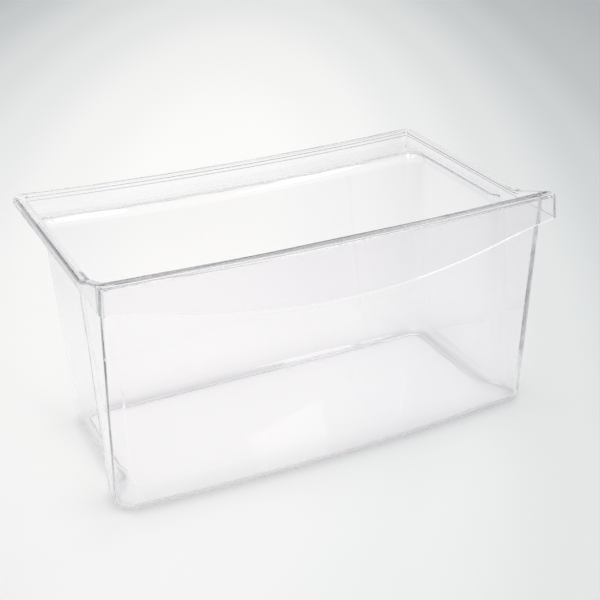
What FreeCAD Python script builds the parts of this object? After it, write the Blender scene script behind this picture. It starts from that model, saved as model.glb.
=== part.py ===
"""Crisper drawer for a refrigerator: one clear plastic injection moulding.

Millimetres. +Z is up, the front with its pull lip faces -Y, and the origin is the
middle of the footprint, on the surface that the drawer stands on.
"""
import FreeCAD, Part
import math
import os

# Overall size
rim_width = 400.0
depth = 247.0
rim_height = 191.0
lip_rise = 14.0

# Moulded thicknesses
wall = 2.6
floor_thickness = 2.8
flange_thickness = 2.6
skirt_thickness = 2.6

# Rim flange: it overhangs the tub, and a short skirt hangs from its outer edge
flange_reach = 5.6
skirt_height = 7.0
skirt_draft = 4.5
rim_back_bow = 11.5
rim_back_round = 4.0

# Pull lip: the skirt deepens into an apron along the bowed front
apron_height = 45.6
apron_deep_half = 140.0
apron_end_rise = 9.0
lip_bow = 7.5
lip_end_round = 4.5
lip_setback = 8.6
lip_flat = 19.5
ramp_length = 40.0
ramp_round = 30.0

# Tub, front part: as wide as the rim allows, with a bowed front wall
front_bow = 9.5
front_round_top = 10.0
front_round_bottom = 14.0
front_draft = 1.0
side_draft_front = 0.6

# Tub, rear part: narrower, below a ledge, with a back wall that slopes in to the floor
ledge_drop = 11.0
ledge_side = 6.0
ledge_back = 33.0
ledge_round_side = 3.0
ledge_round_back = 9.0
side_draft_rear = 6.5
back_slope_run = 28.0
back_round_top = 14.0
back_round_bottom = 18.0
floor_back_bow = 0.6

# S-shaped step in each side wall, between the front and the rear part of the tub
step_setback_top = 68.0
step_length_top = 12.0
step_setback_bottom = 31.0
step_length_bottom = 28.0

# Floor: rounded bottom edge, and a panel that climbs off the surface below towards the back
bottom_round = 9.0
round_steps = 5
panel_rise = 2.0
panel_margin_side = 11.0
panel_margin_back = 10.5
panel_margin_front = 30.0
panel_round = 9.0
panel_draft = 1.0

# Levels that follow from those sizes
lip_top = rim_height + lip_rise
skirt_low = rim_height - skirt_height
apron_low = lip_top - apron_height
apron_end = rim_width / 2 - lip_end_round
ledge_top = rim_height - ledge_drop
ledge_under = ledge_top - wall
skirt_slope = math.tan(math.radians(skirt_draft))
tub_half = rim_width / 2 - flange_reach
tub_front = -depth / 2 + (rim_height - apron_low) * skirt_slope + lip_setback
tray_back = depth / 2 - flange_reach
tub_back = tray_back - ledge_back
ramp_end = -depth / 2 + lip_flat
ramp_start = ramp_end + ramp_length
reach = rim_width


def point(x, y, z):
    return FreeCAD.Vector(x, y, z)


def edge(start, middle, end):
    """A straight edge, or an arc where a middle point is given."""
    if middle is None:
        return Part.LineSegment(start, end).toShape()
    return Part.Arc(start, middle, end).toShape()


def on_circle(centre, radius, degrees, z):
    angle = math.radians(degrees)
    return point(centre[0] + radius * math.cos(angle), centre[1] + radius * math.sin(angle), z)


def corner(circle_y, circle_radius, half, radius, hollow, z):
    """Round between a side at x = half and a bowed edge, from the bowed edge to the side.

    The bowed edge is a circle about (0, circle_y): it bulges out of the drawer at the
    front, and it is hollow at the back.
    """
    reach_to_centre = circle_radius + radius if hollow else circle_radius - radius
    x = half - radius
    y = circle_y - math.sqrt(reach_to_centre ** 2 - x ** 2)
    share = circle_radius / reach_to_centre
    tangent = point(share * x, circle_y + share * (y - circle_y), z)
    start = math.degrees(math.atan2(tangent.y - y, tangent.x - x))
    middle = on_circle((x, y), radius, start / 2, z)
    return tangent, middle, point(half, y, z)


def plan_outline(plan, z, inset=0.0):
    """Closed outline of the drawer seen from above, at height z, moved inwards by inset."""
    half_front = plan["half_front"] - inset
    half_back = plan["half_back"] - inset
    front_radius = (plan["half_front"] ** 2 + plan["front_bow"] ** 2) / (2 * plan["front_bow"])
    front_circle = plan["front"] + front_radius
    front_tangent, front_middle, front_side = corner(
        front_circle, front_radius - inset, half_front, plan["front_round"] - inset, False, z)
    back_radius = (plan["half_back"] ** 2 + plan["back_bow"] ** 2) / (2 * plan["back_bow"])
    back_circle = plan["back"] - plan["back_round"] + math.sqrt(
        (back_radius + plan["back_round"]) ** 2 - (plan["half_back"] - plan["back_round"]) ** 2)
    back_tangent, back_middle, back_side = corner(
        back_circle, back_radius + inset, half_back, plan["back_round"] - inset, True, z)

    right = [(front_tangent, front_middle, front_side)]
    step_height = plan["half_front"] - plan["half_back"]
    if step_height > 0:
        turn = 2 * math.atan2(step_height, plan["step_length"])
        radius = plan["step_length"] / (2 * math.sin(turn))
        start_y = plan["step_start"] - inset * math.tan(turn / 2)
        end_y = start_y + plan["step_length"]
        outer = (half_front - radius + inset, start_y)
        inner = (half_back + radius + inset, end_y)
        turn_degrees = math.degrees(turn)
        first = [on_circle(outer, radius - inset, turn_degrees * part, z) for part in (0, 0.5, 1)]
        second = [on_circle(inner, radius + inset, 180 + turn_degrees * part, z) for part in (1, 0.5, 0)]
        right.append((front_side, None, first[0]))
        right.append(tuple(first))
        right.append((first[2], second[1], second[2]))
        right.append((second[2], None, back_side))
    else:
        right.append((front_side, None, back_side))
    right.append((back_side, back_middle, back_tangent))

    def across(p):
        return None if p is None else point(-p.x, p.y, p.z)

    left = [(across(end), across(middle), across(start)) for start, middle, end in reversed(right)]
    front = (across(front_tangent), point(0, plan["front"] + inset, z), front_tangent)
    back = (back_tangent, point(0, back_circle - back_radius - inset, z), across(back_tangent))
    loop = [front] + right + [back] + left
    return Part.Wire([edge(*piece) for piece in loop])


def stacked(outlines):
    """Solid between outlines that lie one above the other."""
    return Part.makeLoft(outlines, True, True)


def rim_plan(z):
    """Outer edge of the rim and lip: the skirt and apron flare outwards as they hang down."""
    flare = (z - skirt_low) * skirt_slope
    return {
        "half_front": rim_width / 2 - flare,
        "half_back": rim_width / 2 - flare,
        "front": -depth / 2 + (z - apron_low) * skirt_slope,
        "front_bow": lip_bow,
        "front_round": lip_end_round,
        "back": depth / 2 - flare,
        "back_bow": rim_back_bow,
        "back_round": rim_back_round,
    }


tub_top = {
    "half_front": tub_half,
    "half_back": tub_half - ledge_side,
    "front": tub_front,
    "front_bow": front_bow,
    "front_round": front_round_top,
    "back": tub_back,
    "back_bow": rim_back_bow,
    "back_round": back_round_top,
    "step_start": tub_front + step_setback_top,
    "step_length": step_length_top,
}

tub_bottom = {
    "half_front": tub_half - side_draft_front,
    "half_back": tub_half - ledge_side - side_draft_rear,
    "front": tub_front + front_draft,
    "front_bow": front_bow,
    "front_round": front_round_bottom,
    "back": tub_back - back_slope_run,
    "back_bow": floor_back_bow,
    "back_round": back_round_bottom,
    "step_start": tub_front + front_draft + step_setback_bottom,
    "step_length": step_length_bottom,
}

tray = {
    "half_front": tub_half,
    "half_back": tub_half,
    "front": tub_front,
    "front_bow": front_bow,
    "front_round": front_round_top,
    "back": tray_back,
    "back_bow": rim_back_bow,
    "back_round": rim_back_round + wall,
}

floor_panel = {
    "half_front": tub_bottom["half_back"] - panel_margin_side,
    "half_back": tub_bottom["half_back"] - panel_margin_side,
    "front": tub_bottom["front"] + panel_margin_front,
    "front_bow": front_bow,
    "front_round": panel_round,
    "back": tub_bottom["back"] - panel_margin_back,
    "back_bow": floor_back_bow,
    "back_round": panel_round,
}


def tub_at(z, grow_side=0.0, grow_back=0.0):
    """Outside of the drafted tub at height z, with the rear part grown into the ledge's round."""
    share = z / ledge_top
    plan = {key: tub_bottom[key] + share * (tub_top[key] - tub_bottom[key]) for key in tub_top}
    plan["half_back"] += grow_side
    plan["back"] += grow_back
    return plan


def quarter_turns():
    """Angles through a moulded round, from its start to a right angle."""
    return [math.radians(90 * count / round_steps) for count in range(round_steps + 1)]


def tub_solid(lowest, inset):
    """The tub's outside, or its hollow when inset is the wall, up to the ledge's rounded edge."""
    outlines = []
    foot = bottom_round - inset
    for turn in quarter_turns():
        z = lowest + foot * (1 - math.cos(turn))
        outlines.append(plan_outline(tub_at(z), z, inset + foot * (1 - math.sin(turn))))
    back = ledge_round_back - wall + inset
    side = ledge_round_side * back / ledge_round_back
    for turn in quarter_turns():
        z = ledge_top - ledge_round_back + back * math.sin(turn)
        growth = 1 - math.cos(turn)
        outlines.append(plan_outline(tub_at(z, side * growth, back * growth), z, inset))
    return stacked(outlines)


def below_the_rim(lowered=0.0):
    """All that lies under the rim's upper face, which ramps up to the lip near the front."""
    low = rim_height - lowered
    high = lip_top - lowered
    corners = [(-depth, 0), (depth, 0), (depth, low), (ramp_start, low), (ramp_end, high), (-depth, high)]
    outline = Part.makePolygon([point(-reach, y, z) for y, z in corners + corners[:1]])
    block = Part.Face(outline).extrude(point(2 * reach, 0, 0))
    bends = []
    for candidate in block.Edges:
        middle = candidate.CenterOfMass
        if abs(middle.x) < 1 and middle.z > low - 1 and ramp_end - 1 < middle.y < ramp_start + 1:
            bends.append(candidate)
    return block.makeFillet(ramp_round, bends)


def apron_edge():
    """Lower edge of the apron, from right to left: deep in the middle, and easing out at the ends."""
    turn_low = skirt_low - apron_end_rise
    steepest = 2 * math.atan((turn_low - apron_low) / apron_deep_half)
    run = apron_end - apron_deep_half
    climb = math.atan(apron_end_rise / run)
    bulge = math.hypot(run, apron_end_rise) / 2 * math.tan((steepest - climb) / 2)
    middle_x = (apron_end + apron_deep_half) / 2 - bulge * math.sin(climb)
    middle_z = (skirt_low + turn_low) / 2 + bulge * math.cos(climb)

    def at(x, z):
        return point(x, -depth, z)

    return [
        edge(at(apron_end, skirt_low), at(middle_x, middle_z), at(apron_deep_half, turn_low)),
        edge(at(apron_deep_half, turn_low), at(0, apron_low), at(-apron_deep_half, turn_low)),
        edge(at(-apron_deep_half, turn_low), at(-middle_x, middle_z), at(-apron_end, skirt_low)),
    ]


def below_the_skirt():
    """What is cut away under the skirt, with a shallow arch under the front that leaves the apron."""
    lower_edge = apron_edge()
    corners = [
        (-apron_end, skirt_low), (-reach, skirt_low), (-reach, 0),
        (reach, 0), (reach, skirt_low), (apron_end, skirt_low)]
    around = [
        edge(point(x, -depth, z), None, point(next_x, -depth, next_z))
        for (x, z), (next_x, next_z) in zip(corners, corners[1:])]
    outline = Part.Wire(lower_edge + around)
    under_apron = Part.Face(outline).extrude(point(0, depth + ramp_end, 0))
    under_sides = Part.makeBox(2 * reach, 2 * depth, skirt_low, point(-reach, ramp_end, 0))
    return under_apron.fuse(under_sides)


def rim_and_lip():
    """Flange, skirt and pull lip: a shallow cap, open below, with its lower edge trimmed."""
    lowest = apron_low - skirt_thickness
    outer = stacked([plan_outline(rim_plan(lowest), lowest), plan_outline(rim_plan(lip_top), lip_top)])
    inner = stacked([
        plan_outline(rim_plan(lowest), lowest, skirt_thickness),
        plan_outline(rim_plan(lip_top), lip_top, skirt_thickness)])
    cap = outer.common(below_the_rim()).cut(inner.common(below_the_rim(flange_thickness)))
    return cap.cut(below_the_skirt())


def tray_block(lowest, inset):
    """Upright wall of the rim, above the ledge, or the space inside it."""
    return Part.Face(plan_outline(tray, lowest, inset)).extrude(point(0, 0, lip_top - lowest))


def panel_block(level):
    """The floor's panel over the given level: a wedge with drafted edges, highest at the back."""
    below = level - floor_thickness / 2
    above = level + panel_rise
    draft_slope = panel_draft / panel_rise
    block = stacked([
        plan_outline(floor_panel, below, (below - level) * draft_slope),
        plan_outline(floor_panel, above, panel_draft)])
    foot = floor_panel["front"] + floor_panel["front_bow"]
    climb = panel_rise / (floor_panel["back"] - foot)
    corners = [
        (foot - (level - below) / climb, below), (depth, below), (depth, level + (depth - foot) * climb)]
    outline = Part.makePolygon([point(-reach, y, z) for y, z in corners + corners[:1]])
    return block.common(Part.Face(outline).extrude(point(2 * reach, 0, 0)))


def crisper_drawer():
    outside = tub_solid(0.0, 0.0).fuse(tray_block(ledge_under, 0.0).common(below_the_rim()))
    hollow = tub_solid(floor_thickness, wall).fuse(tray_block(ledge_top, wall))
    body = outside.fuse(rim_and_lip()).cut(hollow)
    body = body.fuse(panel_block(floor_thickness)).cut(panel_block(0.0))
    return body.removeSplitter()


os.makedirs("parts", exist_ok=True)
drawer = crisper_drawer().Solids[0]
drawer.exportStep("parts/crisper_drawer.step")
box = drawer.optimalBoundingBox(True, False)
limits = (box.XMin, box.XMax, box.YMin, box.YMax, box.ZMin, box.ZMax)
print("crisper_drawer", drawer.ShapeType, drawer.isValid(), round(drawer.Volume / 1000), "cm3")
print([round(limit, 2) for limit in limits], len(drawer.Faces), "faces")
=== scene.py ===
import math

import bmesh
import bpy
from mathutils import Matrix, Vector


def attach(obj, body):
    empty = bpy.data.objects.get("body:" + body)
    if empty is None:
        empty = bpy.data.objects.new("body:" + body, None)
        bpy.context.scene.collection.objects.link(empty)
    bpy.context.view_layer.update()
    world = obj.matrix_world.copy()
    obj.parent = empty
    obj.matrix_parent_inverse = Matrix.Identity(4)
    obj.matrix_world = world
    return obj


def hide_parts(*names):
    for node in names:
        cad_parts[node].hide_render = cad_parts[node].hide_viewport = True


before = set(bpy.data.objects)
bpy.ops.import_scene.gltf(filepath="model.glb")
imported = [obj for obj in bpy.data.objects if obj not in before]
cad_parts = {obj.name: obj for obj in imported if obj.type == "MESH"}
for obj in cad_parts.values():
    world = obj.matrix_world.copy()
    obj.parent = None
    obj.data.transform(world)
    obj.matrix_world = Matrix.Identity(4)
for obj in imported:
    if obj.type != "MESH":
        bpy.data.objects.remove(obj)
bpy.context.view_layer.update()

scene = bpy.context.scene


# Drawer moulding: the open tub with its hanging rim, raised front lip and finger apron.
# It is one shot of clear polystyrene from a polished tool, so nothing on it is fixed or joined.
# The tool leaves the rim's upper outer edge rounded, and the tub's upright corners without facets.
MERGE_GAP = 1e-5
FLAT_WITHIN = math.radians(0.2)
RIM_LEVEL = 0.1908
RIM_CORNER = math.radians(50)
RIM_ROUND = 0.0018
RIM_ROUND_STEPS = 3
SMOOTH_ANGLE = math.radians(35)
FLAT_WEIGHT = 60
SAME_NORMAL_DIGITS = 3
NARROW_FACE = 0.004
CORNER_ACROSS = 0.165
CORNER_ALONG = 0.08
EVEN_PASSES = 15

drawer_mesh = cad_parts["crisper_drawer"].data.copy()
drawer_mesh.name = "drawer_moulding"
drawer = bpy.data.objects.new("drawer_moulding", drawer_mesh)
scene.collection.objects.link(drawer)

bpy.ops.object.select_all(action="DESELECT")
drawer.select_set(True)
bpy.context.view_layer.objects.active = drawer
bpy.ops.object.mode_set(mode="EDIT")
bpy.ops.mesh.select_all(action="SELECT")
bpy.ops.mesh.remove_doubles(threshold=MERGE_GAP)
bpy.ops.mesh.dissolve_limited(angle_limit=FLAT_WITHIN)
bpy.ops.mesh.select_mode(type="EDGE")
bpy.ops.mesh.select_all(action="DESELECT")
shape = bmesh.from_edit_mesh(drawer_mesh)
for edge in shape.edges:
    on_rim = all(end.co.z > RIM_LEVEL for end in edge.verts)
    if on_rim and edge.calc_face_angle(0.0) > RIM_CORNER:
        side = min((face.normal for face in edge.link_faces), key=lambda way: abs(way.z))
        edge.select = side.dot(edge.verts[0].co) > 0
bmesh.update_edit_mesh(drawer_mesh)
bpy.ops.mesh.bevel(offset=RIM_ROUND, segments=RIM_ROUND_STEPS, clamp_overlap=False)
bpy.ops.object.mode_set(mode="OBJECT")
bpy.ops.mesh.customdata_custom_splitnormals_clear()
bpy.ops.object.shade_smooth_by_angle(angle=SMOOTH_ANGLE)
evened = drawer.modifiers.new("even_normals", "WEIGHTED_NORMAL")
evened.mode = "FACE_AREA"
evened.weight = FLAT_WEIGHT
evened.keep_sharp = True
bpy.ops.object.modifier_apply(modifier=evened.name)

# The narrow faces in the upright corners take their normals from the broad faces beside them.
points = drawer_mesh.vertices
normals = [corner.vector.copy() for corner in drawer_mesh.corner_normals]
fans = [
    (corner.vertex_index, tuple(round(part, SAME_NORMAL_DIGITS) for part in normal))
    for corner, normal in zip(drawer_mesh.loops, normals)
]
leaning = dict(zip(fans, normals))
beside = {fan: [] for fan in leaning}
held = set()
for face in drawer_mesh.polygons:
    ends = [fans[corner] for corner in face.loop_indices]
    longest = 0.0
    for a, b in zip(ends, ends[1:] + ends[:1]):
        length = (points[a[0]].co - points[b[0]].co).length
        longest = max(longest, length)
        beside[a].append((b, 1 / length))
        beside[b].append((a, 1 / length))
    broad = face.area / longest > NARROW_FACE
    in_corner = abs(face.center.x) > CORNER_ACROSS and abs(face.center.y) > CORNER_ALONG
    if broad or not in_corner or face.center.z > RIM_LEVEL:
        held.update(ends)
for sweep in range(EVEN_PASSES):
    for fan in leaning:
        if fan not in held:
            pulls = [leaning[near] * pull for near, pull in beside[fan]]
            leaning[fan] = sum(pulls, Vector()).normalized()
drawer_mesh.normals_split_custom_set([leaning[fan] for fan in fans])


def linear(colour):
    """Turns an sRGB hex colour into the linear RGBA that a shader socket takes."""
    parts = [int(colour[i:i + 2], 16) / 255 for i in (0, 2, 4)]
    return [p / 12.92 if p <= 0.04045 else ((p + 0.055) / 1.055) ** 2.4 for p in parts] + [1.0]


def add_node(tree, kind, values=None, links=None, **settings):
    """Adds a node, sets its properties and plain sockets, and links other nodes' sockets into it."""
    added = tree.nodes.new(kind)
    for name, setting in settings.items():
        setattr(added, name, setting)
    for socket, value in (values or {}).items():
        added.inputs[socket].default_value = value
    for socket, source in (links or {}).items():
        tree.links.new(source, added.inputs[socket])
    return added


# Clear general-purpose polystyrene, moulded against polished steel: glossy and water clear face on,
# with a faint violet toner that only shows where light runs along inside a wall and out at an edge.
# The walls flow a few hundredths of a millimetre out of flat, and the polish is not quite even.
CLEAR_COLOUR = "fffeff"
TONER_COLOUR = "7c7a98"
TONER_DENSITY = 0.5
POLYSTYRENE_IOR = 1.58
FLOW_SIZE = 0.045
FLOW_DETAIL = 1.0
FLOW_ROUGHNESS = 0.4
FLOW_DEPTH = 0.0004
FLOW_STRENGTH = 0.12
HAZE_SIZE = 0.012
HAZE_DETAIL = 3.0
HAZE_ROUGHNESS = 0.6
HAZE_LEAST, HAZE_MOST = 0.3, 0.7
GLOSS_BEST, GLOSS_WORST = 0.0, 0.03

clear = bpy.data.materials.new("clear_polystyrene_polished")
clear.use_nodes = True
tree = clear.node_tree
tree.nodes.clear()
place = add_node(tree, "ShaderNodeTexCoord")
flow = add_node(
    tree, "ShaderNodeTexNoise",
    {"Scale": 1 / FLOW_SIZE, "Detail": FLOW_DETAIL, "Roughness": FLOW_ROUGHNESS},
    {"Vector": place.outputs["Object"]},
)
waviness = add_node(
    tree, "ShaderNodeBump",
    {"Strength": FLOW_STRENGTH, "Distance": FLOW_DEPTH},
    {"Height": flow.outputs["Fac"]},
)
haze = add_node(
    tree, "ShaderNodeTexNoise",
    {"Scale": 1 / HAZE_SIZE, "Detail": HAZE_DETAIL, "Roughness": HAZE_ROUGHNESS},
    {"Vector": place.outputs["Object"]},
)
polish = add_node(
    tree, "ShaderNodeMapRange",
    {
        "From Min": HAZE_LEAST,
        "From Max": HAZE_MOST,
        "To Min": GLOSS_BEST,
        "To Max": GLOSS_WORST,
    },
    {"Value": haze.outputs["Fac"]},
)
plastic = add_node(
    tree, "ShaderNodeBsdfPrincipled",
    {
        "Base Color": linear(CLEAR_COLOUR),
        "IOR": POLYSTYRENE_IOR,
        "Transmission Weight": 1.0,
    },
    {"Roughness": polish.outputs["Result"], "Normal": waviness.outputs["Normal"]},
)

# Light on its way to the floor goes straight through, less where a wall is seen edge on.
# The round along the foot also bends it aside, which leaves a thin shadow beside the drawer.
FOOT_TOP = 0.011
FOOT_FULL = 0.6 * FOOT_TOP
FOOT_BEND = 0.5
LEVEL_FACE = 0.995
ROUND_FACE = 0.95
LET_BY_TONES = [(0.68, "ffffff"), (1.0, "c0c0c4")]

slant = add_node(tree, "ShaderNodeLayerWeight")
height = add_node(tree, "ShaderNodeSeparateXYZ", None, {"Vector": place.outputs["Object"]})
low = add_node(
    tree, "ShaderNodeMapRange",
    {"From Min": FOOT_TOP, "From Max": FOOT_FULL, "To Max": FOOT_BEND},
    {"Value": height.outputs["Z"]},
)
surface = add_node(tree, "ShaderNodeNewGeometry")
upright = add_node(tree, "ShaderNodeSeparateXYZ", None, {"Vector": surface.outputs["Normal"]})
level = add_node(tree, "ShaderNodeMath", None, {0: upright.outputs["Z"]}, operation="ABSOLUTE")
curved = add_node(
    tree, "ShaderNodeMapRange",
    {"From Min": LEVEL_FACE, "From Max": ROUND_FACE},
    {"Value": level.outputs["Value"]},
)
foot = add_node(
    tree, "ShaderNodeMath", None,
    {0: low.outputs["Result"], 1: curved.outputs["Result"]},
    operation="MULTIPLY",
)
bent = add_node(
    tree, "ShaderNodeMath", None,
    {0: slant.outputs["Facing"], 1: foot.outputs["Value"]},
    operation="ADD",
)
let_by = add_node(tree, "ShaderNodeValToRGB", None, {"Fac": bent.outputs["Value"]})
for stop, (spot, colour) in zip(let_by.color_ramp.elements, LET_BY_TONES):
    stop.position = spot
    stop.color = linear(colour)
open_way = add_node(tree, "ShaderNodeBsdfTransparent", None, {"Color": let_by.outputs["Color"]})
rays = add_node(tree, "ShaderNodeLightPath")
past_diffuse = add_node(
    tree, "ShaderNodeMixShader", None,
    {
        0: rays.outputs["Is Diffuse Ray"],
        1: plastic.outputs["BSDF"],
        2: open_way.outputs["BSDF"],
    },
)
past_lamps = add_node(
    tree, "ShaderNodeMixShader", None,
    {
        0: rays.outputs["Is Shadow Ray"],
        1: past_diffuse.outputs["Shader"],
        2: open_way.outputs["BSDF"],
    },
)
toner = add_node(
    tree, "ShaderNodeVolumeAbsorption",
    {"Color": linear(TONER_COLOUR), "Density": TONER_DENSITY},
)
add_node(
    tree, "ShaderNodeOutputMaterial", None,
    {"Surface": past_lamps.outputs["Shader"], "Volume": toner.outputs["Volume"]},
)

drawer.data.materials.clear()
drawer.data.materials.append(clear)
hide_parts("crisper_drawer")
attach(drawer, "root")


# Studio floor: a seamless matt white table top that the drawer stands on.
# Its colour has a painted pool of light that fades to a painted cool grey shade away from the
# drawer.
FLOOR_REACH = 12.0
FLOOR_SIDES = 96
FLOOR_ROUGHNESS = 0.9
PAINTED_POOL_PLACE = (0.154, 0.539, 0.0)
PAINTED_POOL_TURN = math.radians(-27.1)
PAINTED_POOL_WIDE = 0.95
PAINTED_POOL_DEEP = 3.3
# Painted light: table colours from the painted pool of light near the drawer out to painted grey
# shade far off.
PAINTED_POOL_TONES = [
    (0.16, "b6babc"),
    (0.35, "bfc3c4"),
    (0.45, "cdd0d1"),
    (0.58, "dfe1e1"),
    (0.68, "e9eaea"),
    (0.80, "f4f4f3"),
    (0.92, "f9f9f7"),
]

bpy.ops.mesh.primitive_circle_add(vertices=FLOOR_SIDES, radius=FLOOR_REACH, fill_type="NGON")
floor = bpy.context.object
floor.name = "studio_floor"
matt = bpy.data.materials.new("matt_white_table_painted_pool")
matt.use_nodes = True
tree = matt.node_tree
tree.nodes.clear()
place = add_node(tree, "ShaderNodeTexCoord")
painted_pool = add_node(
    tree, "ShaderNodeMapping",
    {
        "Location": PAINTED_POOL_PLACE,
        "Rotation": (0, 0, PAINTED_POOL_TURN),
        "Scale": (PAINTED_POOL_WIDE, PAINTED_POOL_DEEP, 1.0),
    },
    {"Vector": place.outputs["Object"]},
    vector_type="TEXTURE",
)
painted_falloff = add_node(
    tree, "ShaderNodeTexGradient", None,
    {"Vector": painted_pool.outputs["Vector"]},
    gradient_type="SPHERICAL",
)
# This ramp paints the pool of light and the grey shade around it into the table's colour.
tone = add_node(tree, "ShaderNodeValToRGB", None, {"Fac": painted_falloff.outputs["Fac"]})
tone.color_ramp.interpolation = "EASE"
stops = tone.color_ramp.elements
for step, (spot, colour) in enumerate(PAINTED_POOL_TONES):
    stop = stops[step] if step < len(stops) else stops.new(spot)
    stop.position = spot
    stop.color = linear(colour)
table = add_node(
    tree, "ShaderNodeBsdfPrincipled",
    {"Roughness": FLOOR_ROUGHNESS, "Specular IOR Level": 0.0},
    {"Base Color": tone.outputs["Color"]},
)
add_node(tree, "ShaderNodeOutputMaterial", None, {"Surface": table.outputs["BSDF"]})
floor.data.materials.append(matt)


# Studio lamps: two long strip boxes overhead, which draw the white streaks on the rounded back.
# Each row gives a box's name, its place across and along, its width and its power.
STRIP_HEIGHT = 1.55
STRIP_LENGTH = 1.6
STRIPS = [
    ("left_strip", 0.07, -0.35, 0.23, 2.3),
    ("right_strip", 0.82, -0.35, 0.31, 3.1),
]
for name, across, along, width, power in STRIPS:
    lamp = bpy.data.lights.new(name, "AREA")
    lamp.shape = "RECTANGLE"
    lamp.size = width
    lamp.size_y = STRIP_LENGTH
    lamp.energy = power
    box = bpy.data.objects.new(name, lamp)
    box.location = (across, along, STRIP_HEIGHT)
    scene.collection.objects.link(box)


# Studio room: white walls, shaded low on the far side, with a dark panel behind the drawer.
# The clear edges pick up the shade and the panel as dark lines.
SHADED_SIDE = (0.55, 0.8, -2.2)
SHADED_FULL = 0.6
PANEL_SIDE = (-0.12, 0.885, 0.45)
PANEL_RIM = math.cos(math.radians(19))
PANEL_FULL = math.cos(math.radians(13))
ROOM_TONES = [(0.0, "ffffff"), (0.5, "b4b4b8"), (1.0, "303034")]
ROOM_STRENGTH = 0.96

room = bpy.data.worlds.new("studio_room")
room.use_nodes = True
tree = room.node_tree
tree.nodes.clear()
around = add_node(tree, "ShaderNodeTexCoord")
facing = add_node(
    tree, "ShaderNodeVectorMath",
    {1: SHADED_SIDE},
    {0: around.outputs["Generated"]},
    operation="DOT_PRODUCT",
)
shade = add_node(
    tree, "ShaderNodeMapRange",
    {"From Max": SHADED_FULL},
    {"Value": facing.outputs["Value"]},
)
toward = add_node(
    tree, "ShaderNodeVectorMath",
    {1: PANEL_SIDE},
    {0: around.outputs["Generated"]},
    operation="DOT_PRODUCT",
)
panel = add_node(
    tree, "ShaderNodeMapRange",
    {"From Min": PANEL_RIM, "From Max": PANEL_FULL},
    {"Value": toward.outputs["Value"]},
)
dark = add_node(
    tree, "ShaderNodeMath", None,
    {0: shade.outputs["Result"], 1: panel.outputs["Result"]},
    operation="MAXIMUM",
)
wall_tone = add_node(tree, "ShaderNodeValToRGB", None, {"Fac": dark.outputs["Value"]})
stops = wall_tone.color_ramp.elements
for step, (spot, colour) in enumerate(ROOM_TONES):
    stop = stops[step] if step < len(stops) else stops.new(spot)
    stop.position = spot
    stop.color = linear(colour)
walls = add_node(
    tree, "ShaderNodeBackground",
    {"Strength": ROOM_STRENGTH},
    {"Color": wall_tone.outputs["Color"]},
)
add_node(tree, "ShaderNodeOutputWorld", None, {"Surface": walls.outputs["Background"]})
scene.world = room
scene.view_settings.view_transform = "Standard"


# Light paths: light goes through many walls and runs along inside them before it comes out.
WALL_BOUNCES = 200
OPEN_WAY_PASSES = 32

scene.cycles.max_bounces = WALL_BOUNCES
scene.cycles.transmission_bounces = WALL_BOUNCES
scene.cycles.glossy_bounces = WALL_BOUNCES
scene.cycles.transparent_max_bounces = OPEN_WAY_PASSES


# Camera: a short telephoto above and to the left of the drawer's front.
EYE = (-0.4038, -0.8195, 0.5706)
TURN = math.radians(27.1)
TILT = math.radians(27.26)
ROLL = math.radians(0.21)
LENS = 70.04
SENSOR_WIDTH = 36.0

view = bpy.data.cameras.new("camera")
view.lens = LENS
view.sensor_width = SENSOR_WIDTH
camera = bpy.data.objects.new("camera", view)
scene.collection.objects.link(camera)
aim = (
    Matrix.Rotation(-TURN, 4, "Z")
    @ Matrix.Rotation(math.pi / 2 - TILT, 4, "X")
    @ Matrix.Rotation(ROLL, 4, "Z")
)
camera.matrix_world = Matrix.Translation(EYE) @ aim
scene.camera = camera
